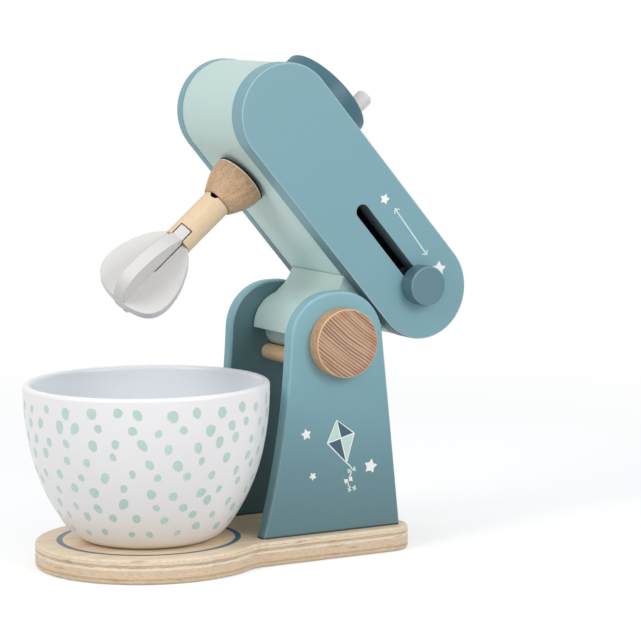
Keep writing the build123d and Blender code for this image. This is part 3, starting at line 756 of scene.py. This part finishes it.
def kite_shapes(centre, width, height, lean):
    """A four-panel kite with a swaying tail and three bows, as (outline, ink) pairs."""
    cx, cy = centre
    top = (cx, cy + height * 0.42)
    low = (cx, cy - height * 0.58)
    left = (cx - width / 2, cy)
    right = (cx + width / 2, cy)
    gap = 0.35
    panels = [
        ([(cx - gap, top[1] - 1.0), (left[0] + 1.1, cy + gap), (cx - gap, cy + gap)], "mint"),
        ([(cx + gap, top[1] - 1.0), (cx + gap, cy + gap), (right[0] - 1.1, cy + gap)], "navy"),
        ([(cx - gap, low[1] + 1.6), (cx - gap, cy - gap), (left[0] + 1.1, cy - gap)], "navy"),
        ([(cx + gap, low[1] + 1.6), (right[0] - 1.1, cy - gap), (cx + gap, cy - gap)], "mint"),
    ]
    shapes = [([top, left, low, right], "white")] + panels
    tail_steps = 24
    tail = []
    for part in range(tail_steps + 1):
        t = part / tail_steps
        tail.append((cx + 2.2 * math.sin(t * 2.1 * math.pi), low[1] + 0.4 - 17.0 * t))
    shapes.append((band(tail, 0.6), "white"))
    bow = ((-2.6, 1.5), (0.0, 0.45), (2.6, 1.5), (2.6, -1.5), (0.0, -0.45), (-2.6, -1.5))
    for t, ink in ((0.30, "mint"), (0.62, "white"), (0.94, "mint")):
        x, y = tail[int(t * tail_steps)]
        shapes.append(([(x + across, y + upward) for across, upward in bow], ink))
    return [(turned(outline, centre, lean), ink) for outline, ink in shapes]


def head_coordinates(point):
    """u and v of a point of the raised head."""
    away = point - HEAD_REAR
    return away.dot(ALONG), away.dot(ABOVE)


def from_stadium(point, near, far):
    """Distance from the line between two values of u on the head's centre line."""
    u, v = head_coordinates(point)
    beyond = max(near - u, 0.0, u - far)
    return math.hypot(beyond, v)


def in_slot(point, normal):
    """Walls of the slider's slot."""
    return from_stadium(point, SLOT_NEAR_U, SLOT_FAR_U) < SLOT_RADIUS + 0.15 * MM and abs(normal.y) < 0.5


def in_cavity(point, normal):
    """Walls of the head's hollow inside."""
    return from_stadium(point, 0.0, HEAD_LENGTH) < CAVITY_RADIUS + 0.4 * MM and abs(normal.y) < 0.5


def in_handle_cut(point, normal):
    """Walls of the handle's cross hole and of the fork in its lower end."""
    u, v = head_coordinates(point)
    inside = math.hypot(u - WHISK_U, point.y) < HANDLE_RADIUS - 0.1 * MM
    return inside and (-v < HANDLE_HOLE_END or -v > HANDLE_FORK_START) and abs(normal.dot(ABOVE)) < 0.99


def in_lap_cut(point, normal):
    """Walls and floor of the cut in the first whisk board that takes the second one."""
    side = -math.cos(WHISK_TURN) * ALONG - math.sin(WHISK_TURN) * ACROSS
    away = (point - HEAD_REAR - WHISK_U * ALONG).dot(side)
    within = abs(away) < LAP_HALF and -head_coordinates(point)[1] < LAP_END
    return within and (abs(normal.dot(side)) > 0.9 or abs(normal.dot(ABOVE)) > 0.95)


def set_material(names, material):
    for name in names:
        mesh = nodes[name].data
        mesh.materials.clear()
        mesh.materials.append(material)


def darken(name, dark, is_dark):
    """Gives the polygons that the test picks a second, dark material."""
    mesh = nodes[name].data
    mesh.materials.append(dark)
    for polygon in mesh.polygons:
        if is_dark(polygon.center, polygon.normal):
            polygon.material_index = 1


def dress_painted_pieces():
    set_material(["upright_left", "upright_right"],
                 satin_paint("satin_blue_stand", BLUE, painted_light_shade=upright_painted_shade, rounding_highlight=0.10))
    set_material(["head_plate_left", "head_plate_right"],
                 satin_paint("satin_blue", BLUE, painted_light_shade=plate_painted_shade, rounding_highlight=0.38))
    set_material(["head_core"], satin_paint("satin_mint_core", MINT, painted_light_shade=core_painted_light_shade))
    set_material(["neck_block"],
                 satin_paint("satin_mint_neck", MINT, edge_wear_and_highlight=0.6, painted_light_shade=neck_painted_shade))
    set_material(["crank_disc"], satin_paint("satin_slate", SLATE))
    set_material(["slider_knob"],
                 satin_paint("satin_slate_knob", KNOB_SLATE, painted_light_shade=knob_painted_shade, rounding_highlight=0.12))
    set_material(["crank_peg", "whisk_blade_a", "whisk_blade_b"],
                 satin_paint("satin_warm_grey", WARM_GREY, gloss=0.5))
    set_material(["bowl"], bowl_paint("bowl_paint"))


def dress_bare_wood():
    set_material(["base_board"], plywood("plywood"))
    set_material(["pivot_knob_left", "pivot_knob_right"], ridged_beech("ridged_beech"))
    set_material(["whisk_hub"],
                 turned_wood("hub_beech", ABOVE, "#DAB794", "#C39D78", "#9A7353", ring=0.30,
                             fleck_share=0.75, coarse=0.13, line=hub_rim_highlight))
    set_material(["whisk_handle", "drive_shaft"],
                 turned_wood("handle_maple", ABOVE, "#F4DBBC", "#EACAA3", "#D2A67A", ring=0.36,
                             fleck_share=0.22, line=hub_joint_shadow))
    set_material(["stop_dowel", "pivot_axle", "head_pins"],
                 turned_wood("cross_dowel", ACROSS, "#FADAB2", "#EFC598", "#C0966A", ring=0.35,
                             fleck_share=0.4))


def dress_small_parts():
    set_material(["disc_washer", "hub_washer"], matt("washer_black", "#0A0B0C", 0.85))
    set_material(["shaft_bush_lower", "shaft_bush_upper", "pivot_washers"],
                 matt("bush_white", "#E8E6E0", 0.45))
    set_material(["base_screws", "neck_screws", "slider_screw"],
                 matt("zinc_steel", "#BFC1C4", 0.32, scale=900.0, strength=0.2, metal=1.0))


def dress_dark_insides():
    """Dark slate on the slider's stem and shoe; painted shade on the walls of slot, hollow, holes and cut.
    """
    dark = matt("slot_slate", SLOT_SLATE, 0.85, scale=500.0)
    set_material(["slider_stem", "slider_shoe"], dark)
    # Painted shade on the walls of the slot and of the hollow
    darken("head_plate_right", dark, in_slot)
    darken("head_core", dark, in_cavity)
    hole = matt("hole_black", HOLE_BLACK, 0.9, scale=500.0)
    # Painted shade, near black, in the handle's hole and fork and in the blade's cut
    darken("whisk_handle", hole, in_handle_cut)
    darken("whisk_blade_a", hole, in_lap_cut)


def print_marks():
    """Kite and stars on the upright, stars and a double arrow on the head."""
    inks = {
        "white": print_ink("ink_white", PRINT_WHITE),
        "mint": print_ink("ink_mint", PRINT_MINT),
        "navy": print_ink("ink_navy", PRINT_NAVY),
        "pale": print_ink("ink_pale", PRINT_PALE),
    }
    for index, (outline, ink) in enumerate(kite_shapes(KITE_CENTRE, KITE_WIDTH, KITE_HEIGHT, KITE_LEAN)):
        printed_shape(f"print_kite_{index}", outline, upright_place, UPRIGHT_FACE_Y, inks[ink], "stand",
                      INK if index == 0 else INK_ABOVE)
    for index, (centre, radius, turn) in enumerate(UPRIGHT_STARS):
        printed_shape(f"print_star_{index}", star(centre, radius, turn), upright_place, UPRIGHT_FACE_Y,
                      inks["white"], "stand")
    for index, (centre, radius, turn) in enumerate(HEAD_STARS):
        printed_shape(f"print_speed_{index}", star(centre, radius, turn), head_place, PLATE_FACE_Y,
                      inks["white"], "head")
    for index, outline in enumerate(arrow(ARROW_START, ARROW_END, ARROW_WIDTH, ARROW_BARB)):
        printed_shape(f"print_arrow_{index}", outline, head_place, PLATE_FACE_Y, inks["pale"], "head",
                      INK + index * INK_STEP)


def place_camera():
    """Camera at the photograph's viewing angle."""
    azimuth, elevation, roll = (math.radians(angle) for angle in (AZIMUTH, ELEVATION, ROLL))
    back = Vector((math.sin(azimuth) * math.cos(elevation), -math.cos(azimuth) * math.cos(elevation),
                   math.sin(elevation)))
    level = (-back).cross(UP).normalized()
    upward = level.cross(-back)
    right = level * math.cos(roll) + upward * math.sin(roll)
    top = upward * math.cos(roll) - level * math.sin(roll)
    data = bpy.data.cameras.new("camera")
    data.sensor_width = SENSOR_WIDTH
    data.lens = SENSOR_WIDTH * FOCAL_PIXELS / PHOTO_WIDTH
    data.clip_end = 100.0
    camera = bpy.data.objects.new("camera", data)
    bpy.context.scene.collection.objects.link(camera)
    turn = Matrix((right, top, back)).transposed().to_4x4()
    camera.matrix_world = Matrix.Translation(TARGET + back * DISTANCE) @ turn
    bpy.context.scene.camera = camera


def soft_lamp(name, place, size, power):
    """Round area lamp turned to the toy."""
    data = bpy.data.lights.new(name, "AREA")
    data.shape = "DISK"
    data.size = size
    data.energy = power
    lamp = bpy.data.objects.new(name, data)
    bpy.context.scene.collection.objects.link(lamp)
    lamp.location = place
    lamp.rotation_euler = (Vector(LAMP_AIM) - Vector(place)).to_track_quat("-Z", "Y").to_euler()


def studio_lamps():
    for name, (place, size, power) in LAMPS.items():
        soft_lamp(name, place, size, power)


def studio_world():
    """White where it is seen; as a light it is dimmer and cooler, and brighter overhead."""
    world = bpy.data.worlds.new("studio")
    bpy.context.scene.world = world
    world.use_nodes = True
    tree = world.node_tree
    tree.nodes.clear()
    make, link = tree.nodes.new, tree.links.new

    path = make("ShaderNodeLightPath")
    seen = path.outputs["Is Camera Ray"]
    for ray in ("Is Transmission Ray", "Is Glossy Ray"):
        either = make("ShaderNodeMath")
        either.operation = "MAXIMUM"
        link(seen, either.inputs[0])
        link(path.outputs[ray], either.inputs[1])
        seen = either.outputs[0]

    split = make("ShaderNodeSeparateXYZ")
    link(make("ShaderNodeTexCoord").outputs["Generated"], split.inputs[0])
    climb = make("ShaderNodeMapRange")
    for socket, value in zip(climb.inputs[1:5], (SKY_LOW, SKY_HIGH, SKY_DIM, SKY_BRIGHT)):
        socket.default_value = value
    link(split.outputs[2], climb.inputs[0])
    dim = make("ShaderNodeBackground")
    dim.inputs["Color"].default_value = (0.95, 0.98, 1.0, 1.0)
    link(climb.outputs[0], dim.inputs["Strength"])
    bright = make("ShaderNodeBackground")
    bright.inputs["Color"].default_value = (1.0, 1.0, 1.0, 1.0)
    bright.inputs["Strength"].default_value = 1.0

    blend = make("ShaderNodeMixShader")
    link(seen, blend.inputs[0])
    link(dim.outputs[0], blend.inputs[1])
    link(bright.outputs[0], blend.inputs[2])
    link(blend.outputs[0], make("ShaderNodeOutputWorld").inputs["Surface"])


def floor_material():
    """Pale matt floor that keeps the shadow and fades to white further out, lifted where it is seen."""
    g = Graph("floor_white")
    path = g.node("ShaderNodeLightPath")
    seen = g.math("MAXIMUM", path.outputs["Is Camera Ray"],
                  g.math("MAXIMUM", path.outputs["Is Glossy Ray"], path.outputs["Is Transmission Ray"]))
    g.finish(g.shade(g.mix(seen, "#CACACA", "#DADADA"), g.spread(g.noise(300.0, 2.0), 0.995, 1.005)), 0.9)
    g.shader.inputs["Specular IOR Level"].default_value = 0.0
    glow = g.node("ShaderNodeEmission")
    glow.inputs["Color"].default_value = (1.0, 1.0, 1.0, 1.0)
    g.feed(glow.inputs["Strength"], g.times(seen, FLOOR_GLOW))
    both = g.node("ShaderNodeAddShader")
    g.feed(both.inputs[0], g.shader.outputs[0])
    g.feed(both.inputs[1], glow.outputs[0])
    white = g.node("ShaderNodeEmission")
    choice = g.node("ShaderNodeMixShader")
    g.feed(choice.inputs[0], g.times(g.step(g.vector("LENGTH", g.place), FADE_START, FADE_END), seen))
    g.feed(choice.inputs[1], both.outputs[0])
    g.feed(choice.inputs[2], white.outputs[0])
    g.feed(g.tree.nodes["Material Output"].inputs["Surface"], choice.outputs[0])
    return g.material


def studio_floor():
    """Large level square just under the toy."""
    corners = [(-FLOOR_HALF, -FLOOR_HALF, 0), (FLOOR_HALF, -FLOOR_HALF, 0), (FLOOR_HALF, FLOOR_HALF, 0),
               (-FLOOR_HALF, FLOOR_HALF, 0)]
    mesh = bpy.data.meshes.new("floor")
    mesh.from_pydata(corners, [], [(0, 1, 2, 3)])
    mesh.materials.append(floor_material())
    floor = bpy.data.objects.new("floor", mesh)
    bpy.context.scene.collection.objects.link(floor)
    floor.location.z = -FLOOR_DROP


dress_painted_pieces()
dress_bare_wood()
dress_small_parts()
dress_dark_insides()
print_marks()
place_camera()
studio_world()
studio_lamps()
studio_floor()

bpy.context.scene.view_settings.view_transform = "Standard"
